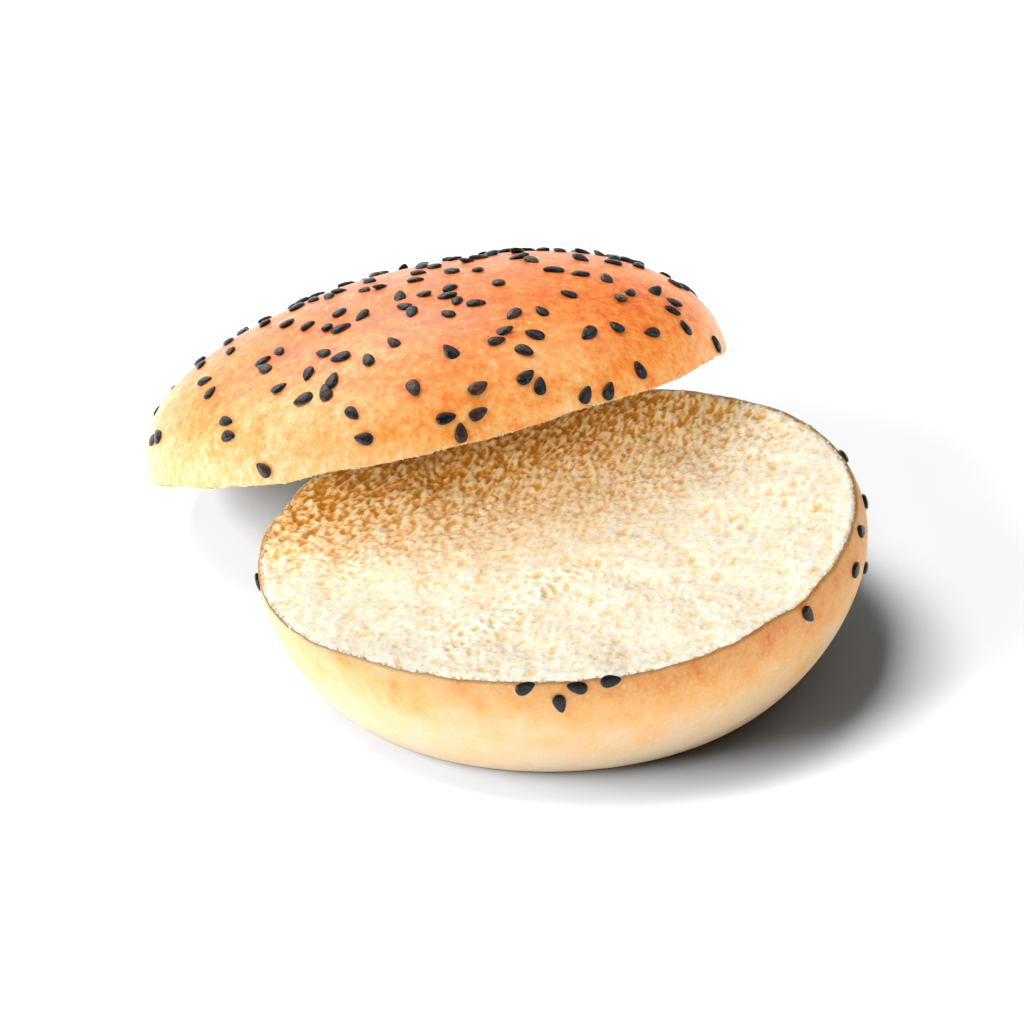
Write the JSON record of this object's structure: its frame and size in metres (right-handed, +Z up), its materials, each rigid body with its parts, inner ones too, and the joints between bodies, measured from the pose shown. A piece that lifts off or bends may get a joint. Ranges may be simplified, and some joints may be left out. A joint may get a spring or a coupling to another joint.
{
  "type": "brioche burger bun",
  "caption": "Round brioche burger bun cut through level. The sesame-topped crown leans on the rim of the upturned heel, with its far edge on the table.",
  "frame": {"origin": "centre of the heel's flat base, on the table", "axes": "+Z up, -Y towards the picture's viewer, +X to the viewer's right"},
  "size_m": [0.1203, 0.1395, 0.0529],
  "materials": {
    "golden_crust": "egg-washed brioche crust, softly glossy, orange brown on top and pale gold towards the cut",
    "pale_crust": "thin soft crust, satin, golden under the cut and cream near the base",
    "crumb": "soft torn white crumb with fine pores, matte",
    "sesame": "black sesame seed, satin"
  },
  "bodies": {
    "root": {"heel": "pale_crust", "crown": "golden_crust"}
  },
  "joints": []
}
